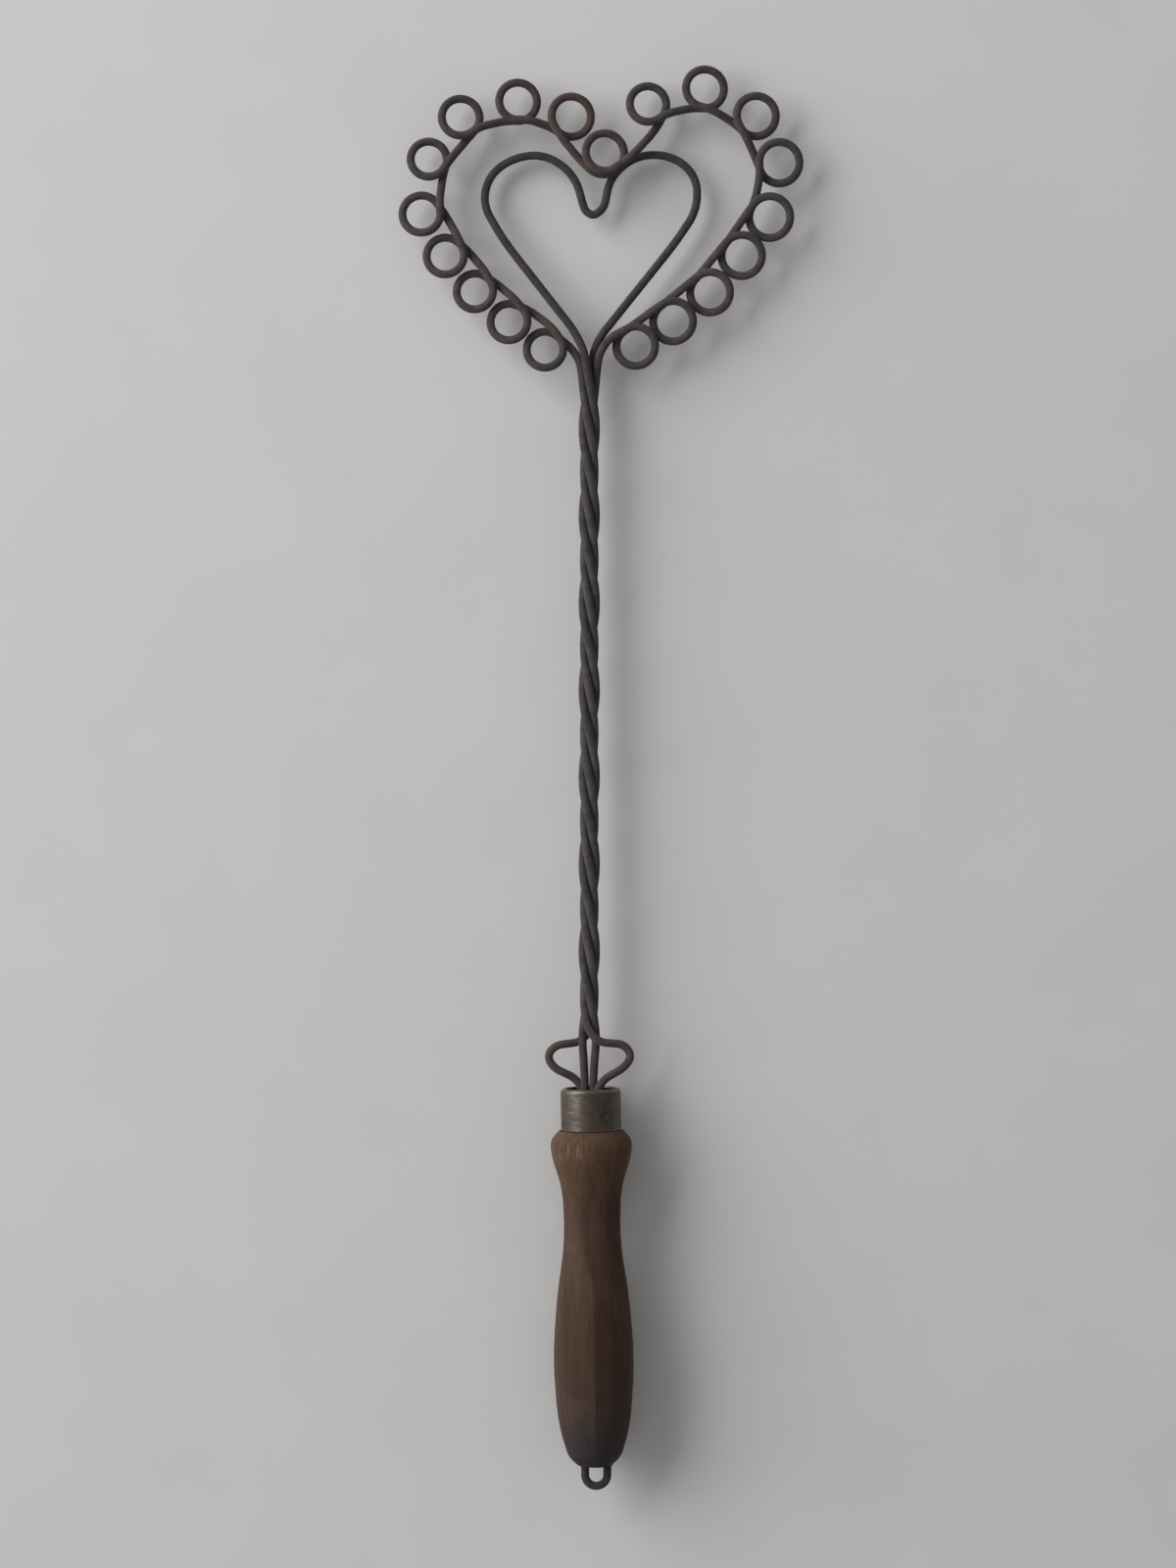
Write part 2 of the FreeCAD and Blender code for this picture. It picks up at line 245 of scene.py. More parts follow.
def run_between(first, second, arrival_radius):
    """Headings out of one loop and into the next, and the two bends of the bowed run between them."""
    x, y, radius, bow = first
    start = Vector((x, y, 0))
    end = Vector((second[0], second[1], 0))
    span = (end - start).length
    along = (end - start).normalized()
    side = left_of(along)
    slope = (arrival_radius - radius) / span
    away = along * slope + side * math.sqrt(1 - slope * slope)
    leave_point = start - away * radius
    reach_point = end - away * arrival_radius
    length = (reach_point - leave_point).length
    shoulder = length / 4
    if bow:
        mean = (radius + arrival_radius) / 2
        arc = (length * length / 4 + bow * bow) / (2 * bow) - mean
        from_first = arc + radius
        from_second = arc + arrival_radius
        foot = (span * span + from_first * from_first - from_second * from_second) / (2 * span)
        rise = math.sqrt(from_first * from_first - foot * foot)
        centre = start + along * foot - side * math.copysign(rise, arc)
        leave_point = start + (centre - start) * (radius / from_first)
        reach_point = end + (centre - end) * (arrival_radius / from_second)
    out = left_of((leave_point - start).normalized())
    into = left_of((reach_point - end).normalized())
    if bow:
        shoulder = abs(arc) * math.tan(out.angle(into) / 4)
    bends = [leave_point + out * shoulder, reach_point - into * shoulder]
    return angle_of(out), angle_of(into), bends


def loop_bends(loop, arriving, leaving, back, arrival_radius, level):
    """Bends of one loop, turning left once round, from behind itself to in front."""
    x, y, radius, bow = loop
    sweep = 360 + (leaving - arriving + 180) % 360 - 180
    count = round(sweep / LOOP_TURN)
    step = sweep / count
    bends = []
    for i in range(count):
        part = (i + 0.5) / count
        closing = 0.5 + 0.5 * math.cos(math.pi * min(1.0, part / CLEFT_EASE))
        reach = (radius + (arrival_radius - radius) * closing) / math.cos(math.radians(step / 2))
        climb = min(1.0, max(0.0, (part - level) / (1 - 2 * level)))
        height = back + LAYER * (1 - math.cos(math.pi * climb))
        spot = Vector((x, y, 0)) + heading(arriving - 90 + (i + 0.5) * step) * reach
        bends.append(raised(spot, height))
    return bends


def border_bends():
    """Bends of each loop with the run that leaves it, as one list for each loop."""
    stretches = []
    arriving = FIRST_HEADING
    for i, loop in enumerate(LOOPS):
        in_cleft = i == CLEFT_LOOP
        back = 0.0 if in_cleft else -LAYER
        arrival = CLEFT_ARRIVAL if in_cleft else loop[2]
        leaving, reaching, run = LAST_HEADING, None, []
        if i + 1 < len(LOOPS):
            next_arrival = CLEFT_ARRIVAL if i + 1 == CLEFT_LOOP else LOOPS[i + 1][2]
            next_back = 0.0 if i + 1 == CLEFT_LOOP else -LAYER
            leaving, reaching, run = run_between(loop, LOOPS[i + 1], next_arrival)
            run = [raised(run[0], back + 2 * LAYER), raised(run[1], next_back)]
        level = CLEFT_LEVEL if in_cleft else LOOP_LEVEL
        stretches.append(loop_bends(loop, arriving, leaving, back, arrival, level) + run)
        arriving = reaching
    return stretches


def heart_bends(places):
    fall = math.tan(math.radians(HEART_TILT))
    return [Vector((x, y, -y * fall)) for x, y in places]


def strand_bends(radius, phase):
    """Bends of one strand of the left-hand twist, from the top down."""
    reach = radius / math.cos(math.pi / TWIST_BENDS)
    bends = []
    for i in range(round(TWIST_TURNS * TWIST_BENDS)):
        turned = (i + 0.5) / TWIST_BENDS
        angle = math.radians(phase - 360 * turned)
        height = TWIST_TOP - TWIST_PITCH * turned
        bends.append(Vector((reach * math.cos(angle), height, reach * math.sin(angle))))
    return bends


def vectors(places):
    return [Vector(place) for place in places]


def border_route():
    """Start, named stretches of bends, and end of the border wire."""
    loops = border_bends()
    left = [bend for stretch in loops[:CLEFT_LOOP] for bend in stretch]
    right = [bend for stretch in loops[CLEFT_LOOP + 1:] for bend in stretch]
    return Vector(EAR_LEFT_END), [
        ("left_ear", vectors(EAR_LEFT)[::-1]),
        ("border_strand_left", strand_bends(BORDER_STRAND_RADIUS, 180)[::-1]),
        ("border_left", vectors(THROAT_BORDER_LEFT) + left),
        ("border_cleft_loop", loops[CLEFT_LOOP]),
        ("border_right", right + vectors(THROAT_BORDER_RIGHT)),
        ("border_strand_right", strand_bends(BORDER_STRAND_RADIUS, 0)),
        ("right_ear", vectors(EAR_RIGHT)),
    ], Vector(EAR_RIGHT_END)


def heart_route():
    """Start, named stretches of bends, and end of the heart wire."""
    leg_left = HANG_X - HANG_RADIUS
    leg_right = HANG_X + HANG_RADIUS
    joint = Vector((leg_right, HANG_JOINT, 0))
    hanging = vectors([(leg_right, HANG_BOTTOM, 0), (leg_left, HANG_BOTTOM, 0), (leg_left, HANG_TOP, 0)])
    heart_left = heart_bends(HEART_LEFT)
    heart_left[0].z = HEART_ENTRY_HEIGHT
    return joint, [
        ("hanging_loop", hanging),
        ("core_strand_left", vectors(CORE_LEFT)[::-1]),
        ("heart_strand_left", strand_bends(HEART_STRAND_RADIUS, 90)[::-1]),
        ("inner_heart_left", vectors(THROAT_HEART_LEFT) + heart_left),
        ("inner_heart_right", heart_bends(HEART_RIGHT) + vectors(THROAT_HEART_RIGHT)),
        ("heart_strand_right", strand_bends(HEART_STRAND_RADIUS, -90)),
        ("core_strand_right", vectors(CORE_RIGHT) + [Vector((leg_right, HANG_TOP, 0))]),
    ], joint


# ---- Wires ----

def straight_samples(start, end, step):
    count = max(1, round((end - start).length / step))
    return [start.lerp(end, (i + 1) / count) for i in range(count)]


def rounded(points, step):
    """Samples of a polygon's rounded outline after its first point: one list for each inner corner.

    The arc at a corner is tangent half way along the shorter of its two sides.
    """
    groups = []
    here = points[0]
    for before, corner, after in zip(points, points[1:], points[2:]):
        arriving = (corner - before).normalized()
        leaving = (after - corner).normalized()
        turn = arriving.angle(leaving)
        if turn < 1e-3:
            groups.append(straight_samples(here, corner, step))
            here = corner
            continue
        reach = min((corner - before).length, (after - corner).length) / 2
        start = corner - arriving * reach
        samples = []
        if (start - here).length > SHORTEST_EDGE:
            samples = straight_samples(here, start, step)
        radius = reach / math.tan(turn / 2)
        centre = corner + (leaving - arriving).normalized() * (radius / math.cos(turn / 2))
        count = max(2, math.ceil(radius * turn / step))
        for i in range(1, count + 1):
            angle = turn * i / count
            samples.append(centre + (start - centre) * math.cos(angle)
                           + arriving * (radius * math.sin(angle)))
        groups.append(samples)
        here = samples[-1]
    if (points[-1] - here).length > SHORTEST_EDGE:
        groups[-1] += straight_samples(here, points[-1], step)
    return groups


def carried_normals(line):
    """Unit tangents along a line, and normals carried along it without twisting."""
    tangents = np.gradient(line, axis=0)
    tangents /= np.linalg.norm(tangents, axis=1)[:, None]
    normals = np.zeros_like(line)
    across = np.cross(tangents[0], [0.0, 0.0, 1.0])
    normals[0] = across / np.linalg.norm(across)
    for i in range(1, len(line)):
        carried = normals[i - 1] - tangents[i] * (normals[i - 1] @ tangents[i])
        normals[i] = carried / np.linalg.norm(carried)
    return tangents, normals


def worn_radius(place):
    """Radius of the old wire at a place on its surface: slow waver, and shallow rust pits."""
    slow = noise.noise(place * 0.35)
    pit = noise.noise(place * 1.7 + Vector((31.0, 7.0, 19.0)))
    return WIRE / 2 * (WIRE_FULLNESS + WIRE_WAVER * slow / 2) - WIRE_PITS * max(0.0, pit - 0.1)


def wire_rings(line):
    """Rings of surface points round a wire's centre line."""
    tangents, normals = carried_normals(line)
    sideways = np.cross(tangents, normals)
    angles = np.arange(WIRE_SIDES) * 2 * math.pi / WIRE_SIDES
    spokes = (normals[:, None] * np.cos(angles)[None, :, None]
              + sideways[:, None] * np.sin(angles)[None, :, None])
    places = line[:, None] + spokes * (WIRE / 2)
    radii = np.array([worn_radius(Vector(place)) for place in places.reshape(-1, 3)])
    return line[:, None] + spokes * radii.reshape(len(line), WIRE_SIDES)[:, :, None]


def add_wire(route, slots, materials):
    """One real wire, as a piece for each of its stretches. Neighbours share their end ring."""
    start, stretches, end = route
    corners = [corner for name, bends in stretches for corner in bends]
    groups = rounded([start] + corners + [end], WIRE_STEP)
    line = [start] + [sample for group in groups for sample in group]
    rings = wire_rings(np.array(line))
    used = 0
    first = 0
    for name, bends in stretches:
        last = first + sum(len(group) for group in groups[used:used + len(bends)])
        mesh = ring_mesh("worn_" + name, rings[first:last + 1], False)
        add_piece("worn_" + name, mesh, name, materials[slots[name]])
        used += len(bends)
        first = last


# ---- Handle and ferrule ----

def smooth_step(low, high, value):
    part = min(1.0, max(0.0, (value - low) / (high - low)))
    return part * part * (3 - 2 * part)


def grip_place(radius, down, angle):
    """A point on the leaning axis of handle and ferrule. The angle is from straight up to the right."""
    lean = math.radians(GRIP_LEAN)
    across = radius * math.sin(angle)
    return Vector((
        GRIP_X + across * math.cos(lean) + down * math.sin(lean),
        GRIP_Y + across * math.sin(lean) - down * math.cos(lean),
        radius * math.cos(angle),
    ))


def turned_rings(outline, sides, shape):
    """Rings of a turned piece: shape(radius, down, angle) moves each point of the outline."""
    rings = []
    for radius, down in outline:
        ring = []
        for i in range(sides):
            angle = 2 * math.pi * i / sides
            ring.append(grip_place(*shape(radius, down, angle)))
        rings.append(ring)
    return np.array(rings)


def outline_samples(points, step):
    """A broken line's points, divided so that none are further apart than a step."""
    samples = [points[0]]
    for start, end in zip(points, points[1:]):
        count = max(1, math.ceil(math.dist(start, end) / step))
        for i in range(1, count + 1):
            samples.append(tuple(a + (b - a) * i / count for a, b in zip(start, end)))
    return samples


# Whittled facets of the handle: how many, the angle of an edge between two of them on the bulb, how far
# that edge drifts round (in degrees) towards the waist, and how much of a full flat they cut.
FACETS = 6
FACET_EDGE = 8.0
FACET_DRIFT = -29.0
FACET_DEPTH = 0.32

# Dents in the wood, most of them in the shoulder's swelling: angle, distance down, width, length, depth.
DENTS = [
    (-50, 20.9, 0.8, 2.6, 0.18), (-43, 22.2, 0.7, 3.2, 0.26), (-37, 21.6, 0.6, 2.4, 0.22),
    (-30, 22.6, 0.7, 3.4, 0.30), (-22, 21.3, 0.6, 2.2, 0.20), (-15, 22.8, 0.7, 3.2, 0.30),
    (-9, 22.4, 0.9, 3.6, 0.36), (0, 21.6, 0.6, 2.6, 0.18), (9, 22.6, 0.6, 2.2, 0.12),
    (31, 23.0, 0.9, 2.8, 0.10), (-28, 112.0, 0.9, 5.0, 0.14), (14, 88.0, 0.8, 0.9, 0.20),
    (-8, 131.0, 0.9, 0.8, 0.26), (64, 70.0, 1.2, 4.0, 0.16), (118, 96.0, 1.4, 3.0, 0.20),
    (-130, 60.0, 1.2, 4.5, 0.18), (170, 108.0, 1.6, 3.5, 0.22),
]


def facet_shape(angle, down):
    """How far a whittled facet cuts into the round, as a share of the radius; the sides stay rounder."""
    drift = FACET_DRIFT * (1 - smooth_step(50, 77, down))
    width = 2 * math.pi / FACETS
    uneven = 0.10 * math.sin(angle + 1.0) + 0.07 * math.sin(2 * angle + 0.4)
    turned = angle - math.radians(FACET_EDGE + drift) + uneven
    off_middle = (turned % width) - width / 2
    flat = math.cos(width / 2) / math.cos(off_middle)
    strength = (0.12 + 0.88 * smooth_step(34, 66, down)) * (1 - 0.75 * smooth_step(118, 139, down))
    fade = 0.15 + 0.85 * math.cos(angle) ** 2
    return FACET_DEPTH * strength * fade * (1 - flat)


def dent_depth(radius, down, angle):
    depth = 0.0
    for at, distance, width, length, deep in DENTS:
        aside = (angle - math.radians(at) + math.pi) % (2 * math.pi) - math.pi
        u = aside * radius / width
        v = (down - distance) / length
        span = u * u + v * v
        if span < 4:
            depth += deep * math.exp(-2 * span)
    return depth


def handle_point(radius, down, angle):
    """The wood's surface: facets, dents and a slight waver outside, and a plain bore inside."""
    if radius <= BORE_RADIUS + 0.01 or down < FERRULE_LENGTH + 2 * FIT:
        return radius, down, angle
    cut = radius * facet_shape(angle, down) + dent_depth(radius, down, angle)
    around = Vector((math.sin(angle) * radius, down * 0.25, math.cos(angle) * radius))
    waver = 0.10 * noise.noise(around * 0.16) + 0.03 * noise.noise(around * 0.9)
    grown = smooth_step(FERRULE_LENGTH, FERRULE_LENGTH + 3, down)
    edge = 1 - smooth_step(HANDLE_LENGTH - 5, HANDLE_LENGTH - 1, down)
    return radius + (waver - cut) * grown * edge, down, angle


def handle_outline():
    """Round the section of the wood: down the outside and back up the bore."""
    shoulder = Vector((SHOULDER_RADIUS, FERRULE_LENGTH + FIT, 0))
    butt = Vector((BUTT_RADIUS, HANDLE_LENGTH, 0))
    bends = [Vector((radius, down, 0)) for radius, down in HANDLE_BENDS]
    profile = [shoulder]
    for group in rounded([shoulder] + bends + [butt], 0.6):
        profile += group
    outside = [(p.x, p.y) for p in profile if p.x > BORE_RADIUS + 0.35]
    rim = outside[-1]
    tenon = FERRULE_RADIUS - FERRULE_WALL - FIT
    top = [(BORE_RADIUS, TENON_TOP + 0.4), (BORE_RADIUS + 0.4, TENON_TOP), (tenon - 0.3, TENON_TOP),
           (tenon, TENON_TOP + 0.3), (tenon, FERRULE_LENGTH + FIT),
           (SHOULDER_RADIUS - 0.3, FERRULE_LENGTH + FIT)]
    bottom = [(BORE_RADIUS + 0.25, rim[1] + 0.15), (BORE_RADIUS, rim[1] - 0.1)]
    return top + outside + outline_samples(bottom + [(BORE_RADIUS, TENON_TOP + 1.0)], 6.0)


def bored_point(radius, down, angle):
    """handle_point, with the bore drifting off the axis on its way down."""
    radius, down, angle = handle_point(radius, down, angle)
    if radius > BORE_RADIUS + 0.3:
        return radius, down, angle
    aside = BORE_DRIFT * down / HANDLE_LENGTH
    x = radius * math.sin(angle) + aside
    z = radius * math.cos(angle)
    return math.hypot(x, z), down, math.atan2(x, z)


def add_handle(material):
    rings = turned_rings(handle_outline(), 192, bored_point)
    add_piece("worn_handle", ring_mesh("worn_handle", rings, True), "handle", material)


# Marks in the outside of the ferrule, of which the dimple is the deepest: angle, distance down, width,
# length, depth.
DIMPLE = (32, 9.8, 1.35, 1.35, 0.72)
FERRULE_MARKS = [
    DIMPLE,
    (-41, 8.2, 2.0, 0.22, 0.07), (-36, 11.3, 1.8, 0.20, 0.06), (-44, 4.6, 1.2, 0.25, 0.05),
    (-22, 13.4, 1.6, 0.25, 0.05), (8, 5.5, 0.9, 1.6, 0.05), (75, 7.0, 2.2, 1.8, 0.10),
    (150, 9.0, 2.6, 2.0, 0.12), (-120, 6.5, 2.4, 1.6, 0.10), (-85, 12.0, 1.4, 1.0, 0.08),
]


def ferrule_point(radius, down, angle):
    """The ferrule's surface, slightly out of round, with its dimple and marks."""
    if radius < FERRULE_RADIUS - FERRULE_WALL / 2:
        return radius, down, angle
    depth = 0.0
    for at, distance, width, length, deep in FERRULE_MARKS:
        aside = (angle - math.radians(at) + math.pi) % (2 * math.pi) - math.pi
        span = (aside * radius / width) ** 2 + ((down - distance) / length) ** 2
        if span < 6:
            depth += deep * math.exp(-1.2 * span)
    around = Vector((math.sin(angle) * radius, down, math.cos(angle) * radius))
    waver = 0.05 * noise.noise(around * 0.22) + 0.018 * noise.noise(around * 1.1)
    return radius + waver - depth, down, angle


def ferrule_outline():
    """Round the section of the ferrule: outside wall up, over the rolled edge and down the inside."""
    inside = FERRULE_RADIUS - FERRULE_WALL
    roll = FERRULE_RADIUS - FERRULE_ROLL
    lip = FERRULE_WALL / 2
    points = [(inside, FERRULE_LENGTH - 0.1), (inside + 0.1, FERRULE_LENGTH),
              (FERRULE_RADIUS - 0.25, FERRULE_LENGTH), (FERRULE_RADIUS - 0.06, FERRULE_LENGTH - 0.08),
              (FERRULE_RADIUS, FERRULE_LENGTH - 0.3)]
    wall = [(FERRULE_RADIUS, FERRULE_LENGTH - 0.6), (FERRULE_RADIUS, FERRULE_ROLL + 0.3)]
    points += outline_samples(wall, 0.22)
    for i in range(9):
        angle = math.radians(90 * i / 8)
        across, up = FERRULE_ROLL * math.cos(angle), FERRULE_ROLL * math.sin(angle)
        points.append((roll + across, FERRULE_ROLL - up))
    for i in range(1, 8):
        angle = math.radians(90 + 180 * i / 8)
        points.append((FERRULE_MOUTH + lip + lip * math.cos(angle), lip - lip * math.sin(angle)))
    inner_roll = FERRULE_ROLL - FERRULE_WALL
    for i in range(5):
        angle = math.radians(90 - 90 * i / 4)
        points.append((roll + inner_roll * math.cos(angle), FERRULE_ROLL - inner_roll * math.sin(angle)))
    points += outline_samples([(inside, FERRULE_ROLL + 0.5), (inside, FERRULE_LENGTH - 0.5)], 3.0)
    return points


def add_ferrule(material):
    rings = turned_rings(ferrule_outline(), 192, ferrule_point)
    add_piece("worn_ferrule", ring_mesh("worn_ferrule", rings, True), "ferrule", material)


# ---- Materials ----

def new_material(name):
    material = bpy.data.materials.new(name)
    material.use_nodes = True
    tree = material.node_tree
    return material, tree, tree.nodes["Principled BSDF"]


def add(tree, kind, inputs=None, **settings):
    """A node with its settings, whose inputs take numbers, colours or other nodes' outputs."""
    node = tree.nodes.new(kind)
    for name, value in settings.items():
        setattr(node, name, value)
    for name, value in (inputs or {}).items():
        give(tree, node.inputs[name], value)
    return node


def give(tree, socket, value):
    if isinstance(value, bpy.types.NodeSocket):
        tree.links.new(value, socket)
    else:
        socket.default_value = value


def noise_of(tree, place, scale, detail=3.0, roughness=0.55, stretch=None):
    """Noise with features of about 1 / scale metres, stretched by a factor on each axis."""
    if stretch:
        place = add(tree, "ShaderNodeMapping", {"Vector": place, "Scale": stretch}).outputs["Vector"]
    texture = add(tree, "ShaderNodeTexNoise", {
        "Vector": place, "Scale": scale, "Detail": detail, "Roughness": roughness})
    return texture.outputs["Fac"]


def ramp(tree, value, low, high, start=0.0, end=1.0):
    """value from low to high, taken smoothly to start to end."""
    node = add(tree, "ShaderNodeMapRange", {
        "Value": value, "From Min": low, "From Max": high, "To Min": start, "To Max": end},
        interpolation_type="SMOOTHSTEP")
    return node.outputs["Result"]


def near(tree, place, centre, far, close, share):
    """share within close millimetres of a point in the axes of the CAD, fading to 0 at far."""
    away = add(tree, "ShaderNodeVectorMath", {"Vector": place}, operation="DISTANCE")
    away.inputs[1].default_value = tuple((centre[i] + SHIFT[i]) * MM for i in range(3))
    return ramp(tree, away.outputs["Value"], far * MM, close * MM, 0.0, share)


def maths(tree, operation, first, second):
    node = add(tree, "ShaderNodeMath", operation=operation)
    give(tree, node.inputs[0], first)
    give(tree, node.inputs[1], second)
    return node.outputs["Value"]


def blend_colours(tree, share, first, second):
    """first, with a share of second over it."""
    node = add(tree, "ShaderNodeMix", data_type="RGBA")
    give(tree, node.inputs["Factor"], share)
    give(tree, node.inputs["A"], first)
    give(tree, node.inputs["B"], second)
    return node.outputs["Result"]


def rgb(red, green, blue):
    return (red, green, blue, 1.0)


def shade(colour, factor):
    return rgb(*(channel * factor for channel in colour[:3]))


def object_axis(tree, place, axis):
    """Distance along X, Y or Z of the row frame."""
    return add(tree, "ShaderNodeSeparateXYZ", {"Vector": place}).outputs[axis]


def bump(tree, height, distance, strength, under=None):
    inputs = {"Height": height, "Distance": distance, "Strength": strength}
    if under:
        inputs["Normal"] = under
    return add(tree, "ShaderNodeBump", inputs).outputs["Normal"]


def wire_material(name, steel, rust, rust_low, rust_high, rusty_place=None):
    """Old steel wire: dark oxide under a thin film of brown rust.

    The film is thickest in patches, at the ears and round rusty_place, and thin on the shaft, where
    hands have worn it. On the shaft the steel is also painted lighter, as painted light that offsets the
    shade in the grooves of the twist.
    """
    material, tree, shader = new_material(name)
    place = add(tree, "ShaderNodeTexCoord").outputs["Object"]
    patches = noise_of(tree, place, 38, 3.0)
    speckle = noise_of(tree, place, 1100, 3.0, 0.6)
    grime = noise_of(tree, place, 300, 4.0, 0.6)
    along = object_axis(tree, place, "Y")
    patchy = maths(tree, "ADD", patches, maths(tree, "MULTIPLY", speckle, 0.12))
    film = ramp(tree, patchy, rust_low, rust_high)
    shaft = ramp(tree, along, (SHIFT[1] + 5) * MM, (SHIFT[1] - 30) * MM)
    left_over = maths(tree, "SUBTRACT", 1.0, maths(tree, "MULTIPLY", shaft, 0.85))
    film = maths(tree, "MULTIPLY", film, left_over)
    at_ears = ramp(tree, along, (SHIFT[1] - 225) * MM, (SHIFT[1] - 245) * MM, 0.0, 0.9)
    film = maths(tree, "MAXIMUM", film, at_ears)
    # Steel painted lighter for the shaft: painted light against the shade in the twist's grooves.
    shaft_painted_light = shade(steel, 1.25)
    colour = blend_colours(tree, film, blend_colours(tree, shaft, steel, shaft_painted_light), rust)
    if rusty_place:
        redder = rgb(rust[0] * 1.12, rust[1] * 1.02, rust[2] * 0.98)
        colour = blend_colours(tree, near(tree, place, rusty_place, 34.0, 14.0, 0.8), colour, redder)
    colour = blend_colours(tree, ramp(tree, grime, 0.60, 0.40, 0.0, 0.6), colour, shade(steel, 0.7))
    colour = blend_colours(tree, ramp(tree, speckle, 0.58, 0.72, 0.0, 0.4), colour, shade(rust, 1.6))
    give(tree, shader.inputs["Base Color"], colour)
    give(tree, shader.inputs["Roughness"], ramp(tree, grime, 0.3, 0.7, 0.88, 0.70))
    shader.inputs["Specular IOR Level"].default_value = 0.3
    shader.inputs["Diffuse Roughness"].default_value = 1.0
    rough = bump(tree, speckle, 0.0003, 0.3)
    give(tree, shader.inputs["Normal"], bump(tree, grime, 0.0006, 0.2, rough))
    return material


def ferrule_material():
    """Worn sheet steel: even brown-grey tarnish, faint streaks round it, fine scratches and specks, with
    painted shade and a painted highlight in the dimple and painted highlights along both rims.
    """
    material, tree, shader = new_material("ferrule_steel")
    place = add(tree, "ShaderNodeTexCoord").outputs["Object"]
    tarnish = noise_of(tree, place, 120, 4.0, 0.55)
    streaks = noise_of(tree, place, 260, 4.0, 0.65, (1.0, 9.0, 1.0))
    specks = noise_of(tree, place, 1700, 2.0)
    scratches = noise_of(tree, place, 190, 3.0, 0.7, (1.0, 12.0, 1.0))
    dull, clean = rgb(0.090, 0.072, 0.057), rgb(0.122, 0.103, 0.085)
    colour = blend_colours(tree, ramp(tree, tarnish, 0.35, 0.68), dull, clean)
    colour = blend_colours(tree, ramp(tree, streaks, 0.52, 0.68, 0.0, 0.4), colour, rgb(0.18, 0.160, 0.135))
    across = object_axis(tree, place, "X")
    front_left = ramp(tree, across, (GRIP_X + SHIFT[0]) * MM, (GRIP_X + SHIFT[0] - 3) * MM, 0.15, 0.8)
    scratched = maths(tree, "MULTIPLY", ramp(tree, scratches, 0.57, 0.61), front_left)
    colour = blend_colours(tree, scratched, colour, rgb(0.026, 0.019, 0.015))
    colour = blend_colours(tree, ramp(tree, specks, 0.62, 0.74, 0.0, 0.5), colour, rgb(0.04, 0.030, 0.024))
    at, distance = DIMPLE[:2]
    x = GRIP_X + distance * math.sin(math.radians(GRIP_LEAN)) + FERRULE_RADIUS * math.sin(math.radians(at))
    y = GRIP_Y - distance
    z = FERRULE_RADIUS * math.cos(math.radians(at))
    # Painted shade on the dimple's left side and a painted highlight on its right, as a hollow lit from the
    # left would show.
    dimple_painted_shade = near(tree, place, (x - 0.7, y, z), 3.2, 1.0, 0.5)
    colour = blend_colours(tree, dimple_painted_shade, colour, rgb(0.045, 0.034, 0.027))
    dimple_painted_highlight = near(tree, place, (x + 0.3, y - 0.1, z), 1.5, 0.1, 0.7)
    colour = blend_colours(tree, dimple_painted_highlight, colour, rgb(0.21, 0.18, 0.15))
    low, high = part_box("ferrule")
    along = object_axis(tree, place, "Y")
    # Both rims are painted lighter: a painted highlight along each edge. The top rim is also made smoother,
    # as worn metal.
    rim_wear_and_highlight = ramp(tree, along, high.y - 0.0014, high.y - 0.0008, 0.0, 0.6)
    lower_rim_highlight = ramp(tree, along, low.y + 0.0011, low.y + 0.0007, 0.0, 0.4)
    rim_wear_and_highlight = maths(tree, "MAXIMUM", rim_wear_and_highlight, lower_rim_highlight)
    colour = blend_colours(tree, rim_wear_and_highlight, colour, rgb(0.20, 0.18, 0.155))
    give(tree, shader.inputs["Base Color"], colour)
    shader.inputs["Metallic"].default_value = 0.8
    roughness = ramp(tree, tarnish, 0.3, 0.7, 0.47, 0.41)
    polish = maths(tree, "MULTIPLY", rim_wear_and_highlight, 0.2)
    give(tree, shader.inputs["Roughness"], maths(tree, "SUBTRACT", roughness, polish))
    fine = bump(tree, specks, 0.0001, 0.15)
    give(tree, shader.inputs["Normal"], bump(tree, streaks, 0.0001, 0.25, fine))
    return material


